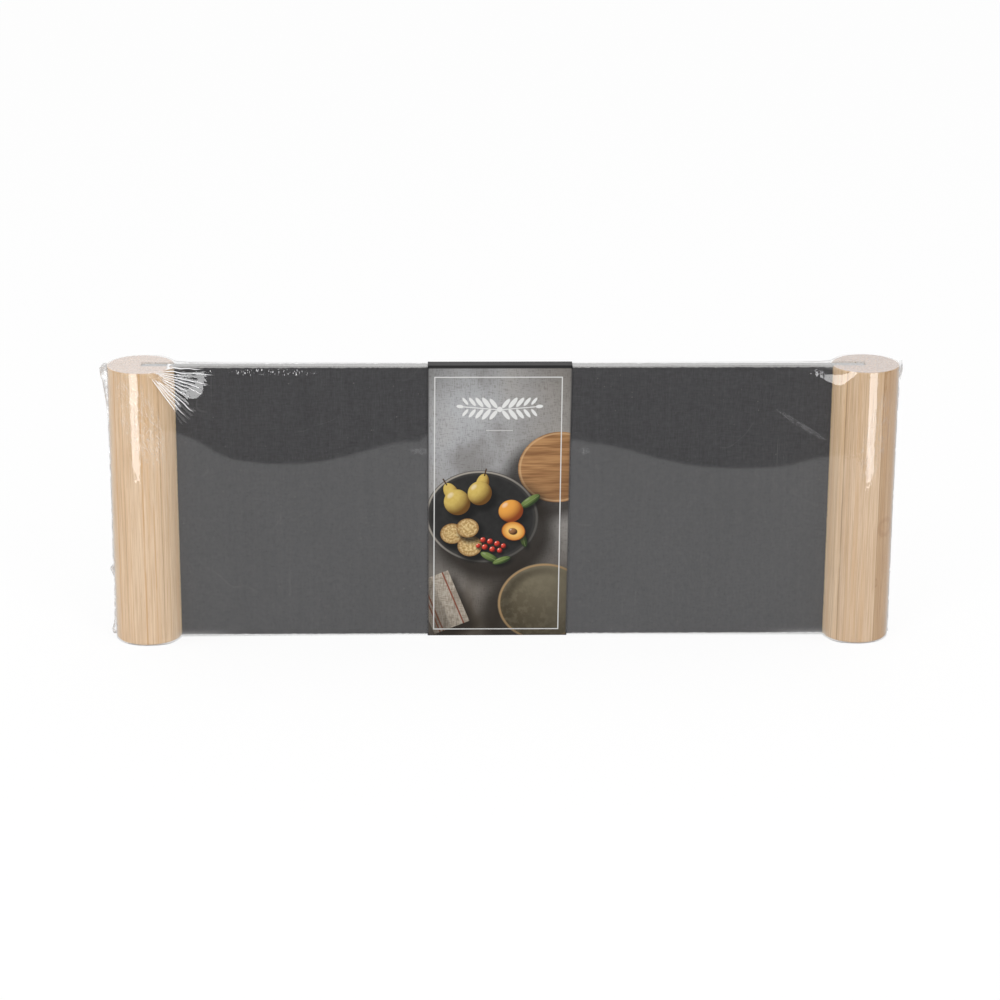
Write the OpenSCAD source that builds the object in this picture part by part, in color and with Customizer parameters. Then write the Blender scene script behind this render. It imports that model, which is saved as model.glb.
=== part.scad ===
// Slate serving board with two round bamboo handles, in clear shrink film and a card sleeve.
// It stands on its long edge: +Z runs up along the handles, X along the board, and the front
// of the sleeve faces -Y. The origin is on the surface it stands on, below the board's middle.

/* [Slate] */
// Overall length of the board, over both handles
board_l = 330; // [280:5:400]
// Size of the slate plate along the handles
slate_h = 119; // [90:1:160]
// Thickness of the slate plate
slate_t = 5.7; // [4:0.1:8]
// Chamfer along the long edges of the slate plate
slate_chamfer = 0.4; // [0.2:0.1:1]

/* [Handles] */
// Diameter of each round handle
handle_d = 28; // [24:1:36]
// How far a handle runs past the slate at each end
handle_overhang = 0.5; // [0.3:0.1:3]
// Radius of the eased rim at the handle ends
handle_rim = 0.8; // [0.3:0.1:2]
// Thickness of the bamboo lamellae that each handle is glued up from
lamella_t = 7.5; // [6:0.5:9]
// Middle glue line of the left handle, to the right of its axis
left_glue_line = 0; // [-1.5:0.1:1.5]
// Middle glue line of the right handle, to the right of its axis
right_glue_line = -1.2; // [-1.5:0.1:1.5]
// Depth of the sawn slot that takes the end of the slate
slot_depth = 14; // [8:0.5:16]
// Thickness of the adhesive between the slate and its slot
adhesive_t = 0.15; // [0.1:0.05:0.4]

/* [Sleeve] */
// Width of the card sleeve at its top fold
sleeve_w_top = 60.2; // [30:0.1:120]
// Width of the card sleeve at its bottom fold
sleeve_w_bottom = 59.4; // [30:0.1:120]
// Middle of the sleeve, to the right of the board's middle
sleeve_shift = -2.1; // [-40:0.1:40]
// How far the sleeve's middle leans to the left from its top to its bottom
sleeve_lean = 0.8; // [-3:0.1:3]
// Thickness of the card
card_t = 0.4; // [0.3:0.05:0.8]
// Play between the card and the film that runs under it
sleeve_play = 0.05; // [0.02:0.01:0.3]
// Height of the glued overlap on the back of the sleeve
overlap_h = 15; // [8:1:30]
// Lower end of the overlap, above the slate's lower edge
overlap_z = 42; // [20:1:60]
// Height of the step that lifts the overlap on to the card below it
overlap_step = 2; // [1:0.5:5]
// Thickness of the glue strip in the overlap
sleeve_glue_t = 0.1; // [0.05:0.05:0.3]
// Bare margin round the glue strip
sleeve_glue_margin = 2.5; // [1:0.5:5]

/* [Film] */
// Wall of the shrink film, thicker than the real film so that it is a sound solid
film_t = 0.15; // [0.1:0.05:0.4]
// Play between the film and the handles that it is shrunk on to
film_play = 0.1; // [0.05:0.05:0.4]
// Play between the film and the slate where the sleeve presses it down
film_slate_play = 0.05; // [0.02:0.01:0.3]
// How far the film's long edges are drawn in behind a straight line from sleeve to handle
film_dip = 2.4; // [0.5:0.1:5]
// Widest stand of the welded side seams, at their upper corners
seam_w = 3.2; // [1:0.1:5]
// Thickness of the welded side seams
seam_t = 0.3; // [0.2:0.1:0.8]
// Height of the left seam's tuft above the film's top
left_tuft_h = 0.4; // [0.2:0.1:3]
// Height of the right seam's tuft above the film's top
right_tuft_h = 1.4; // [0.2:0.1:3]
// Length of the tufts along the board
tuft_l = 9; // [4:0.5:12]

/* [Hidden] */
$fn = 96;

// Overrun of every cutting shape past the faces it cuts
overrun = 1;

handle_r = handle_d / 2;
handle_l = slate_h + 2 * handle_overhang;
handle_x = board_l / 2 - handle_r;
sleeve_gap = film_slate_play + film_t + sleeve_play;
handle_z = max(film_t + film_play, sleeve_gap + card_t - handle_overhang);
slot_w = slate_t + 2 * adhesive_t;
slot_end_x = board_l / 2 - handle_d + slot_depth;
slate_l = 2 * (slot_end_x - adhesive_t);
slate_z = handle_z + handle_overhang;

// Inner faces of the sleeve, then the faces of the overlap on its back
sleeve_y = slate_t / 2 + sleeve_gap;
flap_y = sleeve_y + card_t + sleeve_glue_t;
sleeve_z = slate_z - sleeve_gap;
sleeve_h = slate_h + 2 * sleeve_gap;
overlap_low = slate_z + overlap_z;

// The film clears the handles, and runs between the slate and the sleeve. film_drop is how
// much lower its top lies there than on the handles' ends.
film_top = handle_z + handle_l + film_play + film_t;
film_r = handle_r + film_play;
film_edge_y = slate_t / 2 + film_slate_play;
film_drop = handle_overhang + film_play - film_slate_play;

// Middle of the sleeve at height z
function sleeve_x(z) = sleeve_shift + sleeve_lean * ((z - sleeve_z) / sleeve_h - 0.5);

// Slate

module slate_plate() {
    c = slate_chamfer;
    color("#53504f")
    translate([-slate_l / 2, 0, slate_z])
    rotate([90, 0, 90])
    linear_extrude(slate_l)
    polygon([
        [-slate_t / 2, c], [-slate_t / 2 + c, 0], [slate_t / 2 - c, 0], [slate_t / 2, c],
        [slate_t / 2, slate_h - c], [slate_t / 2 - c, slate_h],
        [-slate_t / 2 + c, slate_h], [-slate_t / 2, slate_h - c]
    ]);
}

// Handles: each is turned from a glued bamboo blank and sawn from its inner side

module handle_half_profile() {
    square([handle_r - handle_rim, handle_l]);
    translate([0, handle_rim])
    square([handle_r, handle_l - 2 * handle_rim]);
    for (z = [handle_rim, handle_l - handle_rim])
        translate([handle_r - handle_rim, z])
        circle(handle_rim);
}

module handle_blank() {
    rotate_extrude()
    handle_half_profile();
}

// Slot in the handle on one side of the board: side is -1 for the left, 1 for the right
module slot_cut(side) {
    reach = slot_depth + overrun;
    inner_x = side * (slot_end_x - reach / 2);
    translate([inner_x, 0, handle_z + handle_l / 2])
    cube([reach, slot_w, handle_l + 2 * overrun], center = true);
}

// Glue lines of a handle, from its left face to its right face, measured from its axis
function glue_lines(middle) = [
    -handle_r - overrun, middle - lamella_t, middle, middle + lamella_t, handle_r + overrun
];

// One lamella between two glue lines. cut is 0 for a whole one, -1 for the front half and
// 1 for the rear half of one that the slot divides.
module lamella(side, middle, number, cut) {
    lines = glue_lines(middle);
    low = lines[number - 1];
    high = lines[number];
    half_y = cut == 0 ? 2 * handle_d : handle_d;
    difference() {
        translate([side * handle_x, 0, handle_z])
        intersection() {
            handle_blank();
            translate([low, (cut - 1) * half_y / 2, -overrun])
            cube([high - low, half_y, handle_l + 2 * overrun]);
        }
        slot_cut(side);
    }
}

module left_lamella_1() { color("#d9b68f") lamella(-1, left_glue_line, 1, 0); }
module left_lamella_2() { color("#dcbc97") lamella(-1, left_glue_line, 2, 0); }
module left_lamella_3_front() { color("#d8b48a") lamella(-1, left_glue_line, 3, -1); }
module left_lamella_3_rear() { color("#d8b48a") lamella(-1, left_glue_line, 3, 1); }
module left_lamella_4_front() { color("#d0aa82") lamella(-1, left_glue_line, 4, -1); }
module left_lamella_4_rear() { color("#d0aa82") lamella(-1, left_glue_line, 4, 1); }
module right_lamella_1_front() { color("#cfa77b") lamella(1, right_glue_line, 1, -1); }
module right_lamella_1_rear() { color("#cfa77b") lamella(1, right_glue_line, 1, 1); }
module right_lamella_2_front() { color("#d6b085") lamella(1, right_glue_line, 2, -1); }
module right_lamella_2_rear() { color("#d6b085") lamella(1, right_glue_line, 2, 1); }
module right_lamella_3() { color("#dcbc97") lamella(1, right_glue_line, 3, 0); }
module right_lamella_4() { color("#cda57a") lamella(1, right_glue_line, 4, 0); }

// Adhesive: a thin U round each end of the slate, inside the slot

module slot_adhesive(side) {
    difference() {
        translate([side * (slot_end_x - slot_depth / 2), 0, slate_z + slate_h / 2])
        cube([slot_depth, slot_w, slate_h], center = true);
        translate([0, 0, slate_z + slate_h / 2])
        cube([slate_l, slate_t, slate_h + 2 * overrun], center = true);
    }
}

module left_slot_adhesive() { color("#c9b48c") slot_adhesive(-1); }
module right_slot_adhesive() { color("#c9b48c") slot_adhesive(1); }

// Sleeve: one printed card band, folded round the slate and glued to itself on the back

module sleeve_section() {
    step_low = overlap_low - overlap_step;
    difference() {
        translate([-sleeve_y - card_t, sleeve_z - card_t])
        square([2 * (sleeve_y + card_t), sleeve_h + 2 * card_t]);
        translate([-sleeve_y, sleeve_z])
        square([2 * sleeve_y, sleeve_h]);
        translate([sleeve_y, step_low])
        square([card_t + overrun, overlap_step]);
    }
    polygon([
        [sleeve_y, step_low], [sleeve_y + card_t, step_low],
        [flap_y + card_t, overlap_low], [flap_y, overlap_low]
    ]);
    translate([flap_y, overlap_low])
    square([card_t, overlap_h]);
}

// Front outline of the sleeve, which narrows and leans a little towards its lower fold
module sleeve_outline() {
    low = sleeve_z - card_t - overrun;
    high = sleeve_z + sleeve_h + card_t + overrun;
    polygon([
        [sleeve_x(low) - sleeve_w_bottom / 2, low], [sleeve_x(low) + sleeve_w_bottom / 2, low],
        [sleeve_x(high) + sleeve_w_top / 2, high], [sleeve_x(high) - sleeve_w_top / 2, high]
    ]);
}

module sleeve_card() {
    reach = flap_y + card_t + overrun;
    color("#8d8b88")
    intersection() {
        translate([-board_l / 2, 0, 0])
        rotate([90, 0, 90])
        linear_extrude(board_l)
        sleeve_section();
        translate([0, reach, 0])
        rotate([90, 0, 0])
        linear_extrude(2 * reach)
        sleeve_outline();
    }
}

module sleeve_glue_strip() {
    glue_h = overlap_h - 2 * sleeve_glue_margin;
    glue_w = min(sleeve_w_top, sleeve_w_bottom) - 4 * sleeve_glue_margin;
    glue_low = overlap_low + sleeve_glue_margin;
    color("#e8e2cf")
    translate([sleeve_x(glue_low) - glue_w / 2, sleeve_y + card_t, glue_low])
    cube([glue_w, sleeve_glue_t, glue_h]);
}

// Film: a front and a rear web, each a taut skin that wraps half of the handles and runs
// straight from each handle to the nearer edge of the sleeve, with its long edges drawn in
// a little more than its middle. Under the sleeve it lies flat on the slate. A web is a thin
// shell whose skin is a grid: stations along the board, at levels up its height.

// Steps round each handle, across each open span, under the sleeve and up the height
film_arc_steps = 14;
film_span_steps = 9;
film_under_steps = 4;
film_levels = 12;

// Where the span meets the slate beside the sleeve, and where it leaves a handle on a
// tangent to it
sleeve_reach = max(sleeve_w_top, sleeve_w_bottom) / 2 + abs(sleeve_shift)
    + abs(sleeve_lean) / 2 + card_t;
film_leave = atan((film_r - film_edge_y) / (handle_x - sleeve_reach));
film_leave_x = handle_x - film_r * sin(film_leave);
film_last = acos(film_edge_y / film_r);

// Most that t * t * t * (1 - t) comes to, at t = 3 / 4
dip_peak = 27 / 256;

// Depth of the span's skin at x and at a share of the height. out is 0 for the inner skin
// and film_t for the outer one.
function span_y(x, height_share, out) =
    let (
        t = min(1, max(0, (abs(x) - sleeve_reach) / (film_leave_x - sleeve_reach))),
        dip = film_dip * pow(t, 3) * (1 - t) / dip_peak
    )
    film_edge_y + out + (film_r * cos(film_leave) - film_edge_y) * t
    - dip * (1 - sin(180 * height_share));

// Skin point at an angle round a handle: -90 is its outer side, 0 its front
function arc_point(side, turn, height_share, out) =
    let (x = handle_x - (film_r + out) * sin(turn), y = (film_r + out) * cos(turn))
    [side * x, turn <= film_leave ? y : max(y, span_y(x, height_share, out))];

function arc_turn(step) = -90 + (film_last + 90) * step / film_arc_steps;

// Stations between the two handles: the left span, the slate under the sleeve, the right span
function span_stations(end_x) =
    let (step_x = (end_x - sleeve_reach) / film_span_steps) [
        for (i = [1:film_span_steps]) -end_x + step_x * i,
        for (i = [1:film_under_steps - 1]) sleeve_reach * (2 * i / film_under_steps - 1),
        for (i = [0:film_span_steps - 1]) sleeve_reach + step_x * i
    ];

function skin_line(height_share, out) = [
    for (i = [0:film_arc_steps]) arc_point(-1, arc_turn(i), height_share, out),
    for (x = span_stations(handle_x - (film_r + out) * sin(film_last)))
        [x, span_y(x, height_share, out)],
    for (i = [film_arc_steps:-1:0]) arc_point(1, arc_turn(i), height_share, out)
];

// How far the film's long edges lie inside their level on the handles' ends
function edge_drop(x) =
    film_drop * (1 - min(1, max(0, (abs(x) - sleeve_reach) / (handle_x - handle_r - sleeve_reach))));

// Height of the skin at x, at a share of its height there
function skin_z(x, share, out) =
    let (
        low = handle_z - film_play - out + edge_drop(x),
        high = film_top - film_t + out - edge_drop(x)
    )
    low + (high - low) * share;

// Levels lie closer together near the edges, where the skin turns most
function level_share(level) = (1 - cos(180 * level / film_levels)) / 2;

// The skin's points, level by level, and then the points where its bottom and top meet the
// middle plane of the board
function skin_points(out) = [
    for (level = [0:film_levels])
        let (share = level_share(level))
        for (p = skin_line(share, out)) [p[0], -p[1], skin_z(p[0], share, out)],
    for (share = [0, 1])
        for (p = skin_line(share, out)) [p[0], 0, skin_z(p[0], share, out)]
];

across = 2 * (film_arc_steps + film_span_steps + 1) + film_under_steps - 1;
skin_count = across * (film_levels + 3);

// Index of the middle plane's point beside station i, at the bottom or at the top. The skin
// itself reaches that plane at its first and last station.
function middle_point(i, top) =
    let (level = top ? film_levels : 0, row = film_levels + (top ? 2 : 1))
    across * (i == 0 || i == across - 1 ? level : row) + i;

function cap_face(i, top) =
    let (a = (top ? across * film_levels : 0) + i)
    i == 0 ? [a, a + 1, middle_point(1, top)]
    : i == across - 2 ? [a, a + 1, middle_point(i, top)]
    : [a, a + 1, middle_point(i + 1, top), middle_point(i, top)];

function turned(face) = [for (k = [len(face) - 1:-1:0]) face[k]];

function inner(face) = [for (k = face) k + skin_count];

module film_web() {
    last = across - 1;
    sides = [
        for (j = [0:film_levels - 1]) for (i = [0:last - 1])
            let (a = j * across + i)
            [a, a + across, a + across + 1, a + 1]
    ];
    caps = [
        for (i = [0:last - 1]) each [cap_face(i, false), turned(cap_face(i, true))]
    ];
    skin = concat(sides, caps);
    side_rims = [
        for (j = [0:film_levels - 1])
            let (a = j * across, b = a + last)
            each [
                [a, a + skin_count, a + skin_count + across, a + across],
                [b, b + across, b + skin_count + across, b + skin_count]
            ]
    ];
    cap_rims = [
        for (i = [0:last - 1])
            let (
                a = middle_point(i, false), b = middle_point(i + 1, false),
                c = middle_point(i, true), d = middle_point(i + 1, true)
            )
            each [
                [a, b, b + skin_count, a + skin_count],
                [d, c, c + skin_count, d + skin_count]
            ]
    ];
    polyhedron(
        points = concat(skin_points(film_t), skin_points(0)),
        faces = concat(skin, [for (f = skin) inner(turned(f))], side_rims, cap_rims),
        convexity = 6
    );
}

module film_front() { color("#e9ecee", 0.25) film_web(); }
module film_rear() { color("#dfe3e6", 0.25) mirror([0, 1, 0]) film_web(); }

// Side seams: the trimmed weld of both webs, a thin ragged fin down the outer side of a
// handle that ends in a tuft at its upper corner. Each pair is [share of the film's height,
// share of seam_w].
left_seam_share = [
    [0.01, 0.35], [0.05, 0.5], [0.12, 0.25], [0.3, 0.18], [0.6, 0.2], [0.75, 0.28],
    [0.84, 0.45], [0.91, 0.85], [0.97, 1]
];
right_seam_share = [
    [0.01, 0.25], [0.1, 0.15], [0.45, 0.12], [0.8, 0.14], [0.93, 0.3], [0.985, 1]
];

// Shares of seam_w, of tuft_l and of its height at the two upper points of a tuft
tuft_out_share = 0.6;
tuft_in_share = 0.5;
tuft_low_share = 0.7;

module side_seam(side, seam_share, tuft_h) {
    edge_x = handle_x + film_r + film_t;
    mirror([side < 0 ? 1 : 0, 0, 0])
    translate([edge_x, seam_t / 2, 0])
    rotate([90, 0, 0])
    linear_extrude(seam_t)
    polygon(concat(
        [for (s = seam_share) [s[1] * seam_w, s[0] * film_top]],
        [
            [tuft_out_share * seam_w, film_top + tuft_h],
            [-tuft_in_share * tuft_l, film_top + tuft_low_share * tuft_h],
            [-tuft_l, film_top], [0, film_top], [0, seam_share[0][0] * film_top]
        ]
    ));
}

module film_left_seam() { color("#f1f3f4") side_seam(-1, left_seam_share, left_tuft_h); }
module film_right_seam() { color("#f1f3f4") side_seam(1, right_seam_share, right_tuft_h); }

slate_plate();
left_lamella_1();
left_lamella_2();
left_lamella_3_front();
left_lamella_3_rear();
left_lamella_4_front();
left_lamella_4_rear();
right_lamella_1_front();
right_lamella_1_rear();
right_lamella_2_front();
right_lamella_2_rear();
right_lamella_3();
right_lamella_4();
left_slot_adhesive();
right_slot_adhesive();
sleeve_card();
sleeve_glue_strip();
film_front();
film_rear();
film_left_seam();
film_right_seam();
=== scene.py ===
import math

import bmesh
import bpy
import numpy as np
from mathutils import Matrix, Vector, noise


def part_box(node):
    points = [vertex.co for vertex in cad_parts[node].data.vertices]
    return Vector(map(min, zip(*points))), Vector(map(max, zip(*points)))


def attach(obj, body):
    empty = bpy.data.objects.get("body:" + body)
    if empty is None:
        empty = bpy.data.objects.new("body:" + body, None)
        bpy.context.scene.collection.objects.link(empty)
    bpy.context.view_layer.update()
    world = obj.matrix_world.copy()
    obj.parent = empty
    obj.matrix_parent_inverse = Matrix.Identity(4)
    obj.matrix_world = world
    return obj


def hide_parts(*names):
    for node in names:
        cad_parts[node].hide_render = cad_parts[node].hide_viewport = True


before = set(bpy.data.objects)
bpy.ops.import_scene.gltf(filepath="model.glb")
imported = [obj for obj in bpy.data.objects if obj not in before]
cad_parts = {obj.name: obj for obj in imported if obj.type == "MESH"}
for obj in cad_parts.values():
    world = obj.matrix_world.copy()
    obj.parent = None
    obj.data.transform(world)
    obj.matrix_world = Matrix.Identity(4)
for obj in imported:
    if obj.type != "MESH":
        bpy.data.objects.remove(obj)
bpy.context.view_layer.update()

MM = 0.001

# Slate plate. A split and sawn plate of dark slate, 302 x 119 x 5.7 mm. Its faces are finely
# riven, with a close cloth-like texture, pale specks and rub marks, and its sawn edges are
# pale grey with small chips along the arrises. Both ends sit glued in the handles' slots.


class Amount:
    """A number on a finish, so that plain sums of amounts add its Math nodes."""

    def __init__(self, finish, socket):
        self.finish = finish
        self.socket = socket

    def math(self, operation, *others):
        return self.finish.node("Math", {"operation": operation}, {0: self, **dict(enumerate(others, 1))})

    def __add__(self, other):
        return self.math("ADD", other)

    def __mul__(self, other):
        return self.math("MULTIPLY", other)

    def __sub__(self, other):
        return self.math("SUBTRACT", other)

    def __rsub__(self, other):
        return self.finish.node("Math", {"operation": "SUBTRACT"}, {0: other, 1: self})

    def __truediv__(self, other):
        return self.math("DIVIDE", other)

    def __pow__(self, other):
        return self.math("POWER", other)

    def __abs__(self):
        return self.math("ABSOLUTE")

    __radd__ = __add__
    __rmul__ = __mul__

    def root(self):
        return self.math("SQRT")

    def high(self, other):
        return self.math("MAXIMUM", other)


class Finish:
    """One material, built from nodes."""

    def __init__(self, name):
        self.material = bpy.data.materials.new(name)
        self.material.use_nodes = True
        self.tree = self.material.node_tree
        self.tree.nodes.clear()
        self.end = self.tree.nodes.new("ShaderNodeOutputMaterial")

    def feed(self, socket, value):
        if isinstance(value, Amount):
            self.tree.links.new(value.socket, socket)
        elif isinstance(value, (tuple, list)) and len(value) == 3 and socket.type == "RGBA":
            socket.default_value = (*value, 1)
        else:
            socket.default_value = value

    def node(self, kind, settings=None, sockets=None, out=0):
        made = self.tree.nodes.new("ShaderNode" + kind)
        for key, value in (settings or {}).items():
            setattr(made, key, value)
        for key, value in (sockets or {}).items():
            self.feed(made.inputs[key], value)
        return Amount(self, made.outputs[out])

    def place(self):
        """Object coordinates in millimetres, as a vector and as its three amounts."""
        point = self.node("TexCoord", out=3)
        point = self.node("VectorMath", {"operation": "SCALE"}, {0: point, 3: 1 / MM}, 0)
        return point, [self.node("SeparateXYZ", None, {0: point}, k) for k in range(3)]

    def grain(self, point, size, detail=2, stretch=(1, 1, 1), shift=(0, 0, 0), rough=0.5):
        """Noise from 0 to 1 whose lumps are about size mm across, drawn out by stretch."""
        scale = tuple(1 / (size * s) for s in stretch)
        spot = self.node("Mapping", None, {"Vector": point, "Location": shift, "Scale": scale})
        return self.node("TexNoise", None,
                         {"Vector": spot, "Scale": 1, "Detail": detail, "Roughness": rough})

    def ramp(self, value, start, end, low=0, high=1):
        """A smooth step of value from start to end."""
        return self.node("MapRange", {"interpolation_type": "SMOOTHSTEP"},
                         {0: value, 1: start, 2: end, 3: low, 4: high})

    def mix(self, share, first, second, blend="MIX"):
        return self.node("Mix", {"data_type": "RGBA", "blend_type": blend},
                         {0: share, 6: first, 7: second}, 2)

    def scaled(self, colour, amount):
        """colour times amount."""
        return self.mix(1, colour, self.node("CombineColor", None, {k: amount for k in range(3)}), "MULTIPLY")

    def bump(self, height, distance, strength=1):
        """distance is the height in mm of a full step from 0 to 1."""
        return self.node("Bump", None, {"Strength": strength, "Distance": distance * MM, "Height": height})

    def surface(self, **sockets):
        shader = self.node("BsdfPrincipled", None, {k.replace("_", " "): v for k, v in sockets.items()})
        self.feed(self.end.inputs[0], shader)
        return self.material


def dress(piece, material, replaced=(), smooth=True):
    """Finishes a new piece: its material, its body and what it stands for."""
    piece.data.materials.clear()
    piece.data.materials.append(material)
    for face in piece.data.polygons:
        face.use_smooth = smooth
    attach(piece, "root")
    if replaced:
        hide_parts(*replaced)
    return piece


def new_piece(name, mesh):
    data = bpy.data.meshes.new(name)
    mesh.to_mesh(data)
    mesh.free()
    piece = bpy.data.objects.new(name, data)
    bpy.context.scene.collection.objects.link(piece)
    return piece


slate_low, slate_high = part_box("slate_plate")
slate_size = slate_high - slate_low
slate_mesh = bmesh.new()
bmesh.ops.create_grid(slate_mesh, x_segments=220, y_segments=88, size=0.5)
bmesh.ops.scale(slate_mesh, vec=(slate_size.x, slate_size.z, 1), verts=slate_mesh.verts)
bmesh.ops.rotate(slate_mesh, matrix=Matrix.Rotation(math.radians(90), 3, "X"), verts=slate_mesh.verts)
slate_middle = (slate_low + slate_high) / 2
bmesh.ops.translate(slate_mesh, vec=(0, slate_low.y, slate_middle.z), verts=slate_mesh.verts)
walls = bmesh.ops.extrude_face_region(slate_mesh, geom=slate_mesh.faces[:])
back = [v for v in walls["geom"] if isinstance(v, bmesh.types.BMVert)]
bmesh.ops.translate(slate_mesh, vec=(0, slate_size.y, 0), verts=back)
bmesh.ops.recalc_face_normals(slate_mesh, faces=slate_mesh.faces)
rim = [e for e in slate_mesh.edges if e.is_manifold and e.calc_face_angle() > 1]
ARRIS, HOLLOW, CHIP = 0.35, 0.09, 0.5
bmesh.ops.bevel(slate_mesh, geom=rim, offset=ARRIS * MM, affect="EDGES", segments=2, profile=0.5,
                material=-1)
for v in slate_mesh.verts:
    p = v.co / MM
    sink = 0.5 + 0.5 * noise.noise(Vector((p.x / 23, p.y, p.z / 31)))
    sink += 0.35 * noise.noise(Vector((p.x / 5, p.y + 9, p.z / 7)))
    v.co.y += math.copysign(HOLLOW * MM * max(0, sink), slate_middle.y - v.co.y)
    near = 1 - min(slate_high.z - v.co.z, v.co.z - slate_low.z) / (0.5 * MM)
    if near > 0:
        chip = max(0, noise.noise(Vector((p.x / 1.3, p.y / 3, p.z))) - 0.12) * near
        v.co.z += math.copysign(CHIP * MM * chip, slate_middle.z - v.co.z)
        v.co.y += math.copysign(CHIP * 0.7 * MM * chip, slate_middle.y - v.co.y)
slate_piece = new_piece("slate_board", slate_mesh)

f = Finish("riven slate")
point, (px, py, pz) = f.place()
weave = f.grain(point, 0.55, 2, (1, 1, 5.5)) * 0.55 + f.grain(point, 0.6, 2, (4.5, 1, 1), (7, 3, 1)) * 0.45
cloud = f.grain(point, 34, 3, (1, 1, 1.4))
streak = f.grain(point, 1.6, 2, (1, 1, 26), (3, 0, 5))
fleck = f.ramp(f.node("TexVoronoi", None, {"Vector": point, "Scale": 0.42, "Randomness": 1}), 0.13, 0.05)
fleck = fleck * f.ramp(f.grain(point, 7, 1, shift=(11, 5, 2)), 0.56, 0.66)
rub = f.ramp(f.grain(point, 0.5, 1, (1, 1, 60), (1, 2, 3)), 0.70, 0.78) * f.ramp(cloud, 0.5, 0.7)
shade = 0.38 + weave * 1.04 + cloud * 0.20 + (streak - 0.5) * 0.26
face = f.scaled((0.0545, 0.0535, 0.0560), shade)
face = f.mix(fleck * 0.30, face, (0.33, 0.31, 0.28))
face = f.mix(rub * 0.16, face, (0.24, 0.24, 0.24))
scratch = f.ramp(abs(f.grain(point, 45, 2, shift=(4, 4, 9)) - 0.5), 0.0040, 0.0012)
scratch = scratch * f.ramp(f.grain(point, 20, 1, shift=(1, 9, 3)), 0.60, 0.68)
face = f.mix(scratch * 0.09, face, (0.25, 0.25, 0.25))
edge_up = abs(pz - slate_middle.z / MM) - slate_size.z / MM / 2
ragged = edge_up + (f.grain(point, 1.3, 3, (1.2, 1, 1)) - 0.5) * 0.9
sawn = f.ramp(ragged, -0.52, -0.22)
saw_marks = 0.75 + f.grain(point, 0.5, 2, (1, 9, 1)) * 0.5
colour = f.mix(sawn, face, f.scaled((0.385, 0.380, 0.374), saw_marks))
relief = weave * 0.6 + f.grain(point, 3.5, 3, shift=(5, 5, 5)) * 0.8
dress(slate_piece, f.surface(Base_Color=colour, Roughness=0.82 - weave * 0.12, Specular_IOR_Level=0.25,
                             Normal=f.bump(relief, 0.10, 0.6)),
      ["slate_plate"], smooth=False)

# Bamboo lamellae. Each handle is a rod turned from four strips of bamboo, glued side by side
# and sanded, with the fibres running up the handle. The slot that takes the slate splits the
# inner strips. The end faces show the cut fibre bundles as fine dots.

handle_low, handle_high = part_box("left_lamella_1")
handle_middle = (handle_low.z + handle_high.z) / 2 / MM
handle_half = (handle_high.z - handle_low.z) / 2 / MM
LEFT_AXIS, RIGHT_AXIS = -151.0, 151.0


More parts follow.
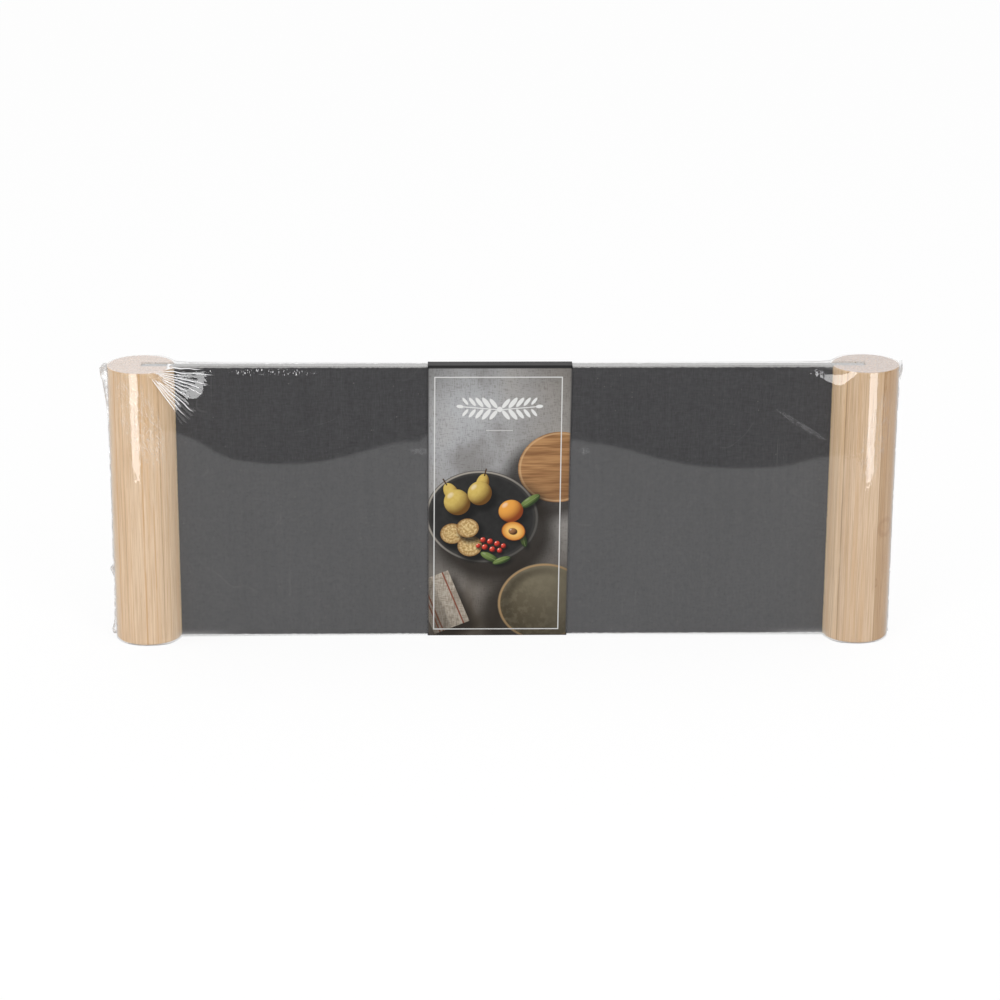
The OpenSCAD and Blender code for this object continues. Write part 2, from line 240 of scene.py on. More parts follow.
def bamboo(name, tone, seed, joints=(), lines=(), scars=()):
    """Bamboo of one strip. joints and lines are (x, width, depth of colour, low z, high z)
    in mm, and scars are the marks of a culm's nodes, (x, z, width, height, depth). A line of
    negative depth is golden, others are brown."""
    f = Finish(name)
    point, (px, py, pz) = f.place()
    shift = (seed * 13.7, seed * 5.3, seed * 31.1)
    fibre = f.grain(point, 0.42, 2, (1, 1, 55), shift)
    band = f.grain(point, 2.3, 2, (1, 1, 60), shift[::-1])
    pore = f.ramp(f.grain(point, 0.20, 1, (1, 1, 34), shift), 0.60, 0.74)
    patch = f.grain(point, 26, 2, (0.5, 0.5, 1.6), shift)
    light = tuple(c * 1.07 for c in tone)
    dark = (tone[0] * 0.77, tone[1] * 0.66, tone[2] * 0.52)
    colour = f.mix(f.ramp(fibre, 0.30, 0.72), dark, light)
    colour = f.mix(0.36, colour, tone)
    banded = (tone[0] * 0.93, tone[1] * 0.80, tone[2] * 0.62)
    colour = f.mix(f.ramp(band, 0.48, 0.70) * 0.48, colour, banded)
    colour = f.mix(f.ramp(patch, 0.48, 0.75) * 0.25, colour, light)
    colour = f.mix(pore * 0.30, colour, (tone[0] * 0.55, tone[1] * 0.42, tone[2] * 0.30))
    for x, width, depth, low, high in (*joints, *lines):
        wander = (f.grain(point, 1, 2, (30, 30, 16), (x, seed, 2)) - 0.5) * 0.5
        line = f.ramp(abs(px - x + wander), width, width * 0.3)
        if high - low < handle_half * 2 - 1:
            line = line * f.ramp(pz, low - 3, low + 3) * f.ramp(pz, high + 3, high - 3)
        line = line * f.ramp(f.grain(point, 1, 1, (12, 12, 11), (seed, x, 1)), 0.30, 0.55, 0.45, 1)
        colour = f.mix(line * abs(depth), colour, (0.30, 0.155, 0.070) if depth > 0 else (0.60, 0.33, 0.13))
    for x, z, width, height, depth in scars:
        turn = (f.grain(point, 3.0, 2, (1, 1, 1), (x, z, 1)) - 0.5) * 0.7
        reach = (((px - x) / width) ** 2 + ((pz - z) / height) ** 2).root() + turn
        ring = f.ramp(abs(reach - 0.8), 0.34, 0.05)
        colour = f.mix(f.ramp(reach, 1.1, 0.6) * depth * 0.55, colour, (0.42, 0.245, 0.115))
        colour = f.mix(ring * depth, colour, (0.33, 0.175, 0.080))
    cut = f.ramp(abs(pz - handle_middle), handle_half - 0.30, handle_half - 0.12)
    dots = f.node("TexVoronoi", None, {"Vector": point, "Scale": 1.15, "Randomness": 1})
    dots = f.ramp(dots, 0.42, 0.16) * f.ramp(f.grain(point, 4, 1, shift=shift), 0.25, 0.60, 0.35, 1)
    sawn = f.mix(f.grain(point, 3.5, 2, shift=shift), (0.52, 0.40, 0.32), (0.62, 0.49, 0.405))
    sawn = f.mix(dots * 0.45, sawn, (0.27, 0.18, 0.13))
    sawn = f.mix(0.50 if name.startswith("bamboo left") else 0, sawn, (0.78, 0.64, 0.54))
    colour = f.mix(cut, colour, sawn)
    relief = fibre * 0.7 + pore * -0.4
    return f.surface(Base_Color=colour, Roughness=0.56 - fibre * 0.10, Specular_IOR_Level=0.25,
                     Normal=f.bump(relief, 0.035, 0.5))


LIGHT = (0.7777, 0.5953, 0.4141)
WARM = (0.7571, 0.5614, 0.3708)
PALE = (0.6953, 0.5232, 0.3605)
TAN = (0.5305, 0.3605, 0.2112)
FULL = (-5, 125)
# By node: tone, seed, joints, lines and scars, with x from the handle's axis
strips = {
    "left_lamella_1": (WARM, 1, [(-7.5, 0.25, 0.35, *FULL)],
                       [(-10.6, 0.35, -0.6, *FULL), (-9.0, 0.2, 0.25, *FULL)], []),
    "left_lamella_2": (LIGHT, 2, [(-7.5, 0.25, 0.30, *FULL)],
                       [(-2.2, 0.32, 1.0, 104.2, 105.0), (-2.1, 0.26, 0.9, 101.2, 101.6),
                        (-2.0, 0.26, 0.9, 98.2, 98.6), (-5.4, 0.3, -0.30, *FULL)], []),
    "left_lamella_3_front": (LIGHT, 3, [(0.3, 0.45, -0.75, *FULL)],
                             [(4.7, 0.25, -0.80, 0, 62), (2.6, 0.2, -0.3, *FULL)], []),
    "left_lamella_3_rear": (LIGHT, 4, [(0.2, 0.3, -0.5, *FULL)], [], []),
    "left_lamella_4_front": (LIGHT, 5, [(7.7, 0.3, 0.45, *FULL)], [(10.2, 0.3, -0.3, *FULL)], []),
    "left_lamella_4_rear": (WARM, 6, [(7.6, 0.3, 0.4, *FULL)], [], [(11, 70, 3, 3.5, 0.5)]),
    "right_lamella_1_front": (LIGHT, 7, [(-8.8, 0.32, 0.62, *FULL)], [(-11, 0.3, 0.2, *FULL)], []),
    "right_lamella_1_rear": (LIGHT, 8, [(-8.8, 0.3, 0.5, *FULL)], [], []),
    "right_lamella_2_front": (PALE, 9, [(-8.6, 0.2, 0.45, *FULL)],
                              [(-6.4, 0.2, 0.30, *FULL), (-3.8, 0.25, -0.35, *FULL)], []),
    "right_lamella_2_rear": (PALE, 10, [(-8.6, 0.2, 0.4, *FULL)], [], []),
    "right_lamella_3": (PALE, 11, [(-1.1, 0.2, 0.25, *FULL)],
                        [(2.0, 0.28, 0.38, 86, 111), (2.1, 0.25, 0.35, 40, 44)], []),
    "right_lamella_4": (TAN, 12, [(6.4, 0.3, 0.40, *FULL)], [(9.2, 0.5, 0.22, *FULL)],
                        [(9.9, 51, 3.4, 4.4, 0.30), (6.7, 27, 0.8, 2.0, 0.45)]),
}
for node_name, (tone, seed, joints, lines, scars) in strips.items():
    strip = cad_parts[node_name]
    strip.data.materials.clear()
    axis = LEFT_AXIS if node_name.startswith("left") else RIGHT_AXIS
    marks = [[(axis + x, *rest) for x, *rest in kind] for kind in (joints, lines, scars)]
    strip.data.materials.append(bamboo("bamboo " + node_name, tone, seed, *marks))

# Slot adhesive. A thin cured layer between each end of the slate and its slot, seen only as
# a hair line on the handles' end faces: clear amber, with slate dust and small bubbles in it.

for node_name in ("left_slot_adhesive", "right_slot_adhesive"):
    f = Finish("cured " + node_name)
    point, (px, py, pz) = f.place()
    dusty = f.ramp(f.grain(point, 1.4, 3), 0.45, 0.65)
    bubble = f.ramp(f.node("TexVoronoi", None, {"Vector": point, "Scale": 1.6}), 0.20, 0.10)
    colour = f.mix(dusty * 0.6, (0.46, 0.35, 0.20), (0.20, 0.17, 0.14))
    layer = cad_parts[node_name]
    layer.data.materials.clear()
    layer.data.materials.append(f.surface(Base_Color=colour, Roughness=0.30 + dusty * 0.3,
                                          Normal=f.bump(bubble, 0.05, 0.4)))

# Card sleeve. One band of matt printed card, 0.4 mm thick, folded round the wrapped slate and
# glued to itself on the back. The front carries a plain printed still life on a linen ground
# within a thin white line. The folds, the back and the inside are charcoal.

SLEEVE_FACE, FLAP_FACE, CARD, FOLD = 3.1, 3.6, 0.4, 0.7
sleeve_low, sleeve_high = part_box("sleeve_card")
sleeve_foot, sleeve_head = sleeve_low.z / MM + CARD, sleeve_high.z / MM - CARD
flap_foot = slate_low.z / MM + 42
face_y, flap_y = SLEEVE_FACE + CARD / 2, FLAP_FACE + CARD / 2


def sleeve_side(z, side):
    """x of the sleeve's side edge at height z: it leans and narrows a little downwards."""
    up = (z - sleeve_foot) / (sleeve_head - sleeve_foot)
    return -2.1 + 0.8 * (up - 0.5) + side * (59.4 + 0.8 * up) / 2


def fold(side_y, z, start):
    """A rounded fold of a quarter turn, from the angle start, turning clockwise."""
    return [(side_y * (face_y - FOLD) + FOLD * math.cos(math.radians(start - 15 * k)),
             z + FOLD * math.sin(math.radians(start - 15 * k))) for k in range(7)]


# From the glued flap on the back, down and under the slate, up the front, over and down
low_fold, high_fold = sleeve_foot - CARD / 2 + FOLD, sleeve_head + CARD / 2 - FOLD
section = [(flap_y, z) for z in np.linspace(flap_foot + 15, flap_foot, 8)]
section += [(face_y, z) for z in np.linspace(flap_foot - 2, low_fold + 1, 14)]
section += fold(1, low_fold, 0) + fold(-1, low_fold, -90)
section += [(-face_y, z) for z in np.linspace(low_fold + 1, high_fold - 1, 48)]
section += fold(-1, high_fold, 180) + fold(1, high_fold, 90)
section += [(face_y, z) for z in np.linspace(high_fold - 1, flap_foot + 1, 24)]

band_mesh = bmesh.new()
points = [band_mesh.verts.new((0, y * MM, z * MM)) for y, z in section]
edges = [band_mesh.edges.new(pair) for pair in zip(points, points[1:])]
for step in range(24):
    grown = bmesh.ops.extrude_edge_only(band_mesh, edges=edges)["geom"]
    edges = [g for g in grown if isinstance(g, bmesh.types.BMEdge)]
    ahead = [g for g in grown if isinstance(g, bmesh.types.BMVert)]
    bmesh.ops.translate(band_mesh, vec=(MM, 0, 0), verts=ahead)
for v in band_mesh.verts:
    left, right = sleeve_side(v.co.z / MM, -1), sleeve_side(v.co.z / MM, 1)
    v.co.x = (left + (right - left) * round(v.co.x / MM) / 24) * MM
bmesh.ops.recalc_face_normals(band_mesh, faces=band_mesh.faces)
band_piece = new_piece("sleeve_band", band_mesh)
wall = band_piece.modifiers.new("card", "SOLIDIFY")
wall.thickness = CARD * MM
wall.offset = 0
wall.use_even_offset = True

f = Finish("printed card")
point, (px, py, pz) = f.place()
u = px + 2.1 - (pz - 60) * (0.8 / 119.5)
v = pz


def blot(x, z, wide, tall, turn=0, soft=0.12):
    """A filled ellipse, 1 inside and 0 outside, and its distance as a share of its radius."""
    c, s = math.cos(math.radians(turn)), math.sin(math.radians(turn))
    across, along = (u - x) * c + (v - z) * s, (v - z) * c - (u - x) * s
    far = ((across / wide) ** 2 + (along / tall) ** 2).root()
    return f.ramp(far, 1 + soft / min(wide, tall), 1 - soft / min(wide, tall)), far


def bar(x, z, wide, tall, turn=0, soft=0.12):
    """A filled rectangle, 1 inside and 0 outside."""
    c, s = math.cos(math.radians(turn)), math.sin(math.radians(turn))
    across, along = (u - x) * c + (v - z) * s, (v - z) * c - (u - x) * s
    return f.ramp(abs(across), wide + soft, wide - soft) * f.ramp(abs(along), tall + soft, tall - soft)


def tint(share, under, over):
    return f.mix(share, under, over)


def ball(x, z, wide, tall, turn, lit, dim, gloss=0.5):
    """A rounded thing lit from the upper left: its outline, and its shaded colour."""
    c, s = math.cos(math.radians(turn)), math.sin(math.radians(turn))
    across = ((u - x) * c + (v - z) * s) / wide
    along = ((v - z) * c - (u - x) * s) / tall
    far = (across * across + along * along).root()
    up = (1 - far * far).high(0).root()
    light = across * (-0.52 * c + 0.55 * s) + along * (0.55 * c + 0.52 * s) + up * 0.65
    colour = tint(f.ramp(light, -0.15, 0.95), dim, lit)
    colour = tint(f.ramp(light, 0.93, 1.0) * gloss, colour, (0.92, 0.86, 0.76))
    return f.ramp(far, 1 + 0.1 / min(wide, tall), 1 - 0.1 / min(wide, tall)), colour


linen = f.grain(point, 0.38, 2, (1, 1, 6)) * 0.5 + f.grain(point, 0.38, 2, (6, 1, 1), (3, 1, 4)) * 0.5
crumple = f.grain(point, 17, 3, (1, 1, 1.8), (4, 0, 2))
ground = tint(f.ramp(v, 0, 112), (0.068, 0.050, 0.032), (0.425, 0.432, 0.445))
ground = tint(f.ramp(v, 100, 118) * 0.42, ground, (0.200, 0.200, 0.195))
ground = tint(f.ramp(u, -16, 28) * f.ramp(v, 50, 96) * 0.8, ground, (0.215, 0.198, 0.180))
ground = tint(f.ramp(crumple, 0.40, 0.72) * 0.40, ground, (0.36, 0.335, 0.305))
ground = tint(f.ramp(crumple, 0.48, 0.28) * 0.45, ground, (0.105, 0.088, 0.072))
ground = tint(f.ramp(linen, 0.53, 0.34) * 0.40, ground, (0.085, 0.070, 0.058))
shadow = (0.016, 0.012, 0.009)
deep = (0.006, 0.006, 0.006)
art = ground
# A round wooden board, upper right
share, far = blot(25, 76, 17, 15.5, 12)
art = tint(blot(21.5, 70.5, 19.5, 18, 12, 4)[0] * 0.85, art, shadow)
ring = f.grain(point, 0.8, 2, (16, 1, 1), (2, 8, 4)) * 0.7
ring = ring + f.grain(point, 3, 2, (9, 1, 1), (2, 3, 4)) * 0.3
wood = tint(f.ramp(ring, 0.32, 0.66), (0.215, 0.100, 0.040), (0.420, 0.225, 0.095))
wood = tint(f.ramp(u - v, -62, -38) * 0.45, wood, (0.150, 0.068, 0.028))
wood = tint(f.ramp(abs(far - 0.955), 0.035, 0.01) * 0.55, wood, (0.62, 0.40, 0.21))
art = tint(share, art, wood)
# A dark stone dish across the middle
share, far = blot(-7, 54, 24, 20.5, -8)
art = tint(blot(-2.5, 48, 27, 24, -8, 5)[0] * 0.92, art, shadow)
stone = tint(f.grain(point, 3, 4, (1, 1, 1), (9, 1, 6)), (0.010, 0.010, 0.010), (0.030, 0.029, 0.028))
stone = tint(f.ramp(far, 0.88, 0.93) * 0.5, stone, (0.050, 0.047, 0.044))
glint = f.ramp(abs(far - 0.97), 0.03, 0.005) * f.ramp(v - u, 40, 84, 0.15, 1)
stone = tint(glint, stone, (0.34, 0.31, 0.27))
art = tint(share, art, stone)
# Two pears, three biscuits, an apricot and its half, a twig of currants and some leaves
for x, z, size, turn in ((-17.5, 60.5, 1, 30), (-8.0, 64.5, 0.92, -14)):
    art = tint(blot(x + 2.0, z - 2.4, 6.0 * size, 6.4 * size, turn, 1.8)[0] * 0.9, art, deep)
    skin = tint(f.grain(point, 1.6, 3, shift=(x, 0, z)), (0.50, 0.335, 0.070), (0.68, 0.52, 0.155))
    sx, cx = math.sin(math.radians(turn)), math.cos(math.radians(turn))
    share, shaded = ball(x - 4.6 * size * sx, z + 4.6 * size * cx, 2.9 * size, 5.0 * size, turn, skin,
                         (0.150, 0.070, 0.012), 0)
    art = tint(share, art, shaded)
    share, shaded = ball(x, z, 5.5 * size, 5.8 * size, turn, skin, (0.125, 0.055, 0.010), 0.35)
    art = tint(share, art, shaded)
    art = tint(bar(x - 10.4 * size * sx, z + 10.4 * size * cx, 0.30, 1.7, turn), art, (0.060, 0.030, 0.014))
for x, z, size in ((-19.5, 46.5, 5.0), (-12.0, 41.0, 5.2), (-13.0, 49.0, 4.7)):
    art = tint(blot(x + 1.4, z - 1.7, size + 0.8, size + 0.4, 0, 1.4)[0] * 0.9, art, deep)
    share, far = blot(x, z, size, size * 0.9)
    crumb = f.grain(point, 0.9, 3, shift=(x, 2, z))
    crust = tint(f.ramp(crumb, 0.35, 0.68), (0.40, 0.245, 0.085), (0.70, 0.535, 0.270))
    crust = tint(f.ramp(far, 0.72, 1.0) * 0.8, crust, (0.225, 0.100, 0.028))
    crust = tint(f.ramp(abs(far - 0.62), 0.10, 0.02) * 0.35, crust, (0.30, 0.165, 0.055))
    art = tint(share, art, crust)
for x, z, turn, size in ((13.2, 60.8, 35, 1.15), (-3.4, 35.8, 152, 1.0), (1.6, 34.4, 20, 0.9),
                         (10.6, 44.2, 105, 0.9)):
    art = tint(blot(x + 0.9, z - 1.1, 4.4 * size, 1.7 * size, turn, 0.9)[0] * 0.8, art, deep)
    share, shaded = ball(x, z, 4.4 * size, 1.6 * size, turn, (0.150, 0.215, 0.060),
                         (0.022, 0.040, 0.012), 0.12)
    art = tint(share, art, tint(bar(x, z, 3.9 * size, 0.08, turn, 0.12) * 0.7, shaded, (0.26, 0.32, 0.13)))
art = tint(blot(6.6, 54.6, 5.4, 5.2, 0, 1.6)[0] * 0.9, art, deep)
share, shaded = ball(5.2, 56.6, 5.2, 4.9, 20, (0.74, 0.335, 0.060), (0.210, 0.042, 0.008), 0.35)
art = tint(share, art, shaded)
art = tint(blot(7.6, 46.2, 5.2, 4.2, 0, 1.6)[0] * 0.9, art, deep)
share, far = blot(6.4, 47.6, 5.0, 4.2, -12)
flesh = tint(f.ramp(far, 0.45, 1.0), (0.80, 0.47, 0.13), (0.58, 0.22, 0.035))
art = tint(share, art, tint(f.ramp(far, 0.90, 0.98), flesh, (0.30, 0.075, 0.014)))
share, shaded = ball(6.2, 47.4, 1.9, 1.5, -12, (0.30, 0.140, 0.055), (0.050, 0.018, 0.007), 0.5)
art = tint(share, art, shaded)
art = tint(bar(-3.2, 41.4, 6.4, 0.16, -14), art, (0.080, 0.062, 0.020))
for x, z, size in ((-8.4, 41.0, 1.05), (-6.4, 43.6, 1.2), (-5.6, 40.4, 1.25), (-3.4, 42.9, 1.3),
                   (-2.4, 39.4, 1.25), (-0.4, 41.9, 1.25), (0.7, 38.9, 1.15), (2.3, 40.9, 1.1)):
    art = tint(blot(x + 0.5, z - 0.6, size + 0.4, size + 0.3, 0, 0.6)[0] * 0.8, art, deep)
    share, shaded = ball(x, z, size, size, 0, (0.66, 0.055, 0.030), (0.100, 0.006, 0.006), 0.8)
    art = tint(share, art, shaded)
# A stoneware bowl in the lower right corner and a folded cloth in the lower left
share, far = blot(19.5, 15.5, 19.5, 17.5, 6)
art = tint(blot(14.5, 10.5, 23, 20.5, 6, 5)[0] * 0.85, art, shadow)
glaze = tint(f.ramp(u + v, 8, 52), (0.066, 0.052, 0.030), (0.165, 0.142, 0.095))
mottle = f.ramp(f.grain(point, 2.4, 4, shift=(2, 2, 2)), 0.42, 0.64) * 0.3
glaze = tint(mottle, glaze, (0.205, 0.178, 0.118))
inner = f.ramp(abs(far - 0.80), 0.16, 0.02) * f.ramp(v - u, -6, 26, 0.1, 0.7)
glaze = tint(inner, glaze, (0.030, 0.023, 0.014))
lip = f.ramp(abs(far - 0.965), 0.035, 0.01) * f.ramp(v - u, -40, 20, 0.35, 1)
glaze = tint(lip, glaze, (0.34, 0.22, 0.11))
art = tint(share, art, glaze)
art = tint(bar(-21.5, 12.5, 9.0, 13, 22, 2.6) * 0.85, art, shadow)
cloth = tint(f.ramp(linen, 0.36, 0.60), (0.300, 0.250, 0.195), (0.520, 0.465, 0.390))
crease = f.ramp(f.grain(point, 4, 2, (0.6, 1, 3), (1, 1, 8)), 0.50, 0.30)
cloth = tint(crease * 0.5, cloth, (0.150, 0.120, 0.090))
for offset in (-5.4, -3.9, 5.4):
    cloth = tint(bar(-24 + offset * 0.93, 15.5 + offset * 0.37, 0.32, 20, 22), cloth, (0.235, 0.070, 0.040))
cloth = tint(f.ramp((u + 24) * 0.93 + (v - 15.5) * 0.37, 0.5, -0.5) * 0.40, cloth, (0.080, 0.062, 0.046))
art = tint(bar(-24, 15.5, 8.0, 12.4, 22), art, cloth)
# The light falls off towards the print's corners
from_middle = (u * u * 1.9 + (v - 66) * (v - 66) * 0.5).root()
art = tint(f.ramp(from_middle, 34, 60) * 0.45, art, (0.020, 0.016, 0.012))
# A small white garland over a rule, and the white line round the print
white = (0.72, 0.72, 0.71)
for side in (-1, 1):
    art = tint(bar(side * 7.8, 101.9, 7.4, 0.20, side * 5), art, white)
    for k in range(5):
        x, z = side * (2.6 + 2.95 * k), 101.5 + 0.24 * k
        for lift in (-1, 1):
            size = 1 - 0.11 * abs(k - 1)
            art = tint(blot(x, z + lift * 2.5, 2.8 * size, 0.95 * size, side * lift * 52)[0], art, white)
    art = tint(blot(side * 16.6, 102.7, 1.5, 0.75, side * 6)[0], art, white)
art = tint(blot(0, 101.4, 1.15, 1.15)[0], art, white)
art = tint(bar(0, 92.2, 5.6, 0.17), art, (0.55, 0.55, 0.54))
inset = (abs(u + 0.6) - 26.55).high(abs(v - 59.35) - 56.05)
art = tint(f.ramp(abs(inset), 0.30, 0.12), art, (0.66, 0.66, 0.65))
# Card: print on the front only, pale cut edges, folds darkened to near black
turned = f.node("NewGeometry", out=1)
facing = f.node("SeparateXYZ", None, {0: turned}, 1)
sideways = abs(f.node("SeparateXYZ", None, {0: turned}, 0))
front = f.ramp(facing, -0.72, -0.86) * f.ramp(py, -3.2, -3.3) * f.ramp(pz, 119.35, 119.05)
fibre = f.grain(point, 0.25, 2) * 0.12
board = tint(f.grain(point, 9, 2), (0.064, 0.063, 0.064), (0.080, 0.078, 0.079))
folded = f.ramp(abs(pz - 60.25), 58.4, 58.7) * f.ramp(abs(py), 2.7, 3.1)
board = tint(folded * 0.9, board, (0.011, 0.011, 0.011))
card = tint(front, board, art)
card = tint(f.ramp(sideways, 0.7, 0.9), card, (0.30, 0.29, 0.28))
printed_card = f.surface(Base_Color=card, Roughness=0.6 + fibre, Specular_IOR_Level=0.15,
                         Normal=f.bump(fibre * 3, 0.012, 0.4))
dress(band_piece, printed_card, ["sleeve_card"])

# Glue strip. A line of hot-melt glue that holds the sleeve's overlap shut on the back. Only
# its edge can be seen, milky and slightly uneven.

f = Finish("sleeve glue")
point, (px, py, pz) = f.place()
lumps = f.grain(point, 2.2, 3, (2, 1, 1))
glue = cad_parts["sleeve_glue_strip"]
glue.data.materials.clear()
glue.data.materials.append(f.surface(
    Base_Color=f.mix(lumps, (0.62, 0.57, 0.44), (0.80, 0.76, 0.64)),
    Roughness=0.28 + lumps * 0.2, Normal=f.bump(lumps, 0.08, 0.5)))

# Film webs. Two webs of clear shrink film, front and rear, pulled tight round the handles,
# gathered at the upper corners, and held down on the slate by the sleeve. The skin has no
# thickness here, and both sides of the real film are in its reflection.

HANDLE_X, FILM_R, SLEEVE_EDGE, SLEEVE_REACH = 151.0, 14.18, 2.98, 33.0
FILM_TOP, FILM_FOOT, EDGE_DROP = 120.43, 0.07, 0.55
CURVE, POWER = 0.25, 4
lean = 0.16
for step in range(8):
    LEAVE_X = HANDLE_X - FILM_R * math.sin(lean)
    RISE = FILM_R * math.cos(lean) - SLEEVE_EDGE
    lean = math.atan(RISE / (LEAVE_X - SLEEVE_REACH) * (1 - CURVE + CURVE * POWER))


def ease(value):
    value = np.clip(value, 0, 1)
    return value * value * (3 - 2 * value)


def edge_drop(x):
    """How far the film's long edges lie inside their level on the handles' ends."""
    return EDGE_DROP * (1 - np.clip((np.abs(x) - SLEEVE_REACH) / (137 - SLEEVE_REACH), 0, 1))


def gathered(x, z, low, turn, outward, inward, high, far, steep, fade):
    """Depth that a corner's gather takes off the span. The film turns in towards the handle,
    between x far and the handle, by a slope of steep that builds up over the height high,
    from a line that is lowest, at low, where x is turn."""
    near = np.maximum(x, far)
    step = np.clip(LEAVE_X - near, 0, None) / 24
    total = 0
    for k in range(24):
        at = near + step * (k + 0.5)
        off = np.clip(HANDLE_X - at, 0, 12)
        slope = np.minimum(steep, off / np.sqrt(FILM_R ** 2 - off ** 2) - math.tan(lean))
        bend = np.where(at > turn, outward, inward)
        start = low + bend * (np.sqrt((at - turn) ** 2 + 4) - 2)
        total = total + step * np.clip(slope, 0, None) * ease((at - far) / 5) * ease((z - start) / high)
    return total * (1 - ease((far - x) / fade))


def film_depth(x, z, bulges, flares, gathers, ripples):
    """How far the film stands out from the board's middle plane, at x and z. bulges and
    flares are (left, right) in mm: how deep the span dips above and below its middle, and
    how far it stands off beside the handle. gathers are (side, shape for gathered), and
    ripples (x, z, half width, half height, pitch, height)."""
    ax = np.abs(x)
    top, foot = FILM_TOP - edge_drop(x), FILM_FOOT + edge_drop(x)
    t = np.clip((ax - SLEEVE_REACH) / (LEAVE_X - SLEEVE_REACH), 0, 1)
    rod = np.sqrt(np.clip(FILM_R ** 2 - (ax - HANDLE_X) ** 2, 0, None))
    y = np.where(ax > LEAVE_X, rod, SLEEVE_EDGE + RISE * ((1 - CURVE) * t + CURVE * t ** POWER))
    bulge = np.where(x < 0, bulges[0], bulges[1])
    y = y - bulge * 16 * (t * (1 - t)) ** 2 * (1 - np.sin(np.pi * np.clip(z / FILM_TOP, 0, 1)))
    flare = np.where(x < 0, flares[0], flares[1])
    beside = ease((ax - 112) / 20) * (1 - ease((ax - 138) / 8))
    y = y + flare * beside * ease((z - 70) / 32) * (1 - ease((z - 103) / 9))
    for side, shape in gathers:
        y = y - gathered(ax, z, *shape) * (x * side > 0)
    floor = np.maximum(np.where(ax > HANDLE_X - FILM_R, rod, 0), SLEEVE_EDGE)
    turned_in = ease((147 - ax) / 9)
    tall = 1.5 + 4.0 * ease((ax - SLEEVE_REACH) / 45) * (1 - 0.8 * ease((ax - 112) / 11))
    for rise in (1 - (top - z) / tall, 1 - (z - foot) / (tall + 7)):
        y = y - np.clip(y - floor, 0, None) * turned_in * np.clip(rise, 0, 1) ** 2
    for x0, z0, wide, high, pitch, amount in ripples:
        near = np.exp(-((x - x0) / wide) ** 2 - ((z - z0) / high) ** 2)
        y = y + amount * near * np.sin(x * 2 * np.pi / pitch + 2 * np.sin(x / 3.1))
    rim = np.clip(1 - (top - z) / 0.8, 0, 1) * ease((ax - 143) / 4)
    return y - 0.8 * (1 - np.sqrt(1 - rim ** 2)) * (rod > 0.8)


LONG_GATHER = (105.3, 129.0, 0.62, 0.60, 7.6, 122.5, 0.25, 50.0)
SHORT_GATHER = (111.9, 138.7, 1.00, 0.52, 4.2, 127.0, 0.22, 60.0)


def film_web(name, side, bulges, flares, gathers, ripples):
    """One web: a grid whose columns run round the handles and along the board, and whose
    rows run from the middle of the top fold, down the face and in under the board."""
    arc = np.radians(np.linspace(-90, math.degrees(lean), 58))
    turn = HANDLE_X - FILM_R * np.sin(arc)
    fine = np.linspace(LEAVE_X, 121, 100)[1:]
    wide = np.linspace(121, SLEEVE_REACH, 34)[1:]
    half = np.concatenate([turn, fine, wide])
    middle = np.linspace(-SLEEVE_REACH, SLEEVE_REACH, 9)[1:-1]
    columns = np.concatenate([-half, middle, half[::-1]])
    drop = np.concatenate([np.linspace(0, 1.2, 7), np.linspace(1.2, 24, 80)[1:],
                           np.linspace(24, 106, 26)[1:], np.linspace(106, 119.2, 16)[1:],
                           np.linspace(119.2, 120.36, 5)[1:]])
    cap = np.linspace(0, 1, 9)[:-1]
    rows = len(cap) * 2 + len(drop)
    x = np.repeat(columns[None, :], rows, 0)
    top, foot = FILM_TOP - edge_drop(x), FILM_FOOT + edge_drop(x)
    fall = np.concatenate([np.zeros(len(cap)), drop, np.full(len(cap), drop[-1])])[:, None]
    z = foot + (top - foot) * (1 - fall / drop[-1])
    y = film_depth(x, z, bulges, flares, gathers, ripples)
    y = y * np.concatenate([cap, np.ones(len(drop)), cap[::-1]])[:, None]
    mesh = bmesh.new()
    bmesh.ops.create_grid(mesh, x_segments=len(columns) - 1, y_segments=rows - 1, size=0.5)
    for v in mesh.verts:
        i = round((v.co.x + 0.5) * (len(columns) - 1))
        j = rows - 1 - round((v.co.y + 0.5) * (rows - 1))
        v.co = Vector((x[j, i], side * y[j, i], z[j, i])) * MM
    bmesh.ops.remove_doubles(mesh, verts=mesh.verts, dist=0.002 * MM)
    bmesh.ops.recalc_face_normals(mesh, faces=mesh.faces)
    outward = sum(face.normal.y * face.calc_area() for face in mesh.faces)
    if outward * side < 0:
        bmesh.ops.reverse_faces(mesh, faces=mesh.faces)
    return new_piece(name, mesh)


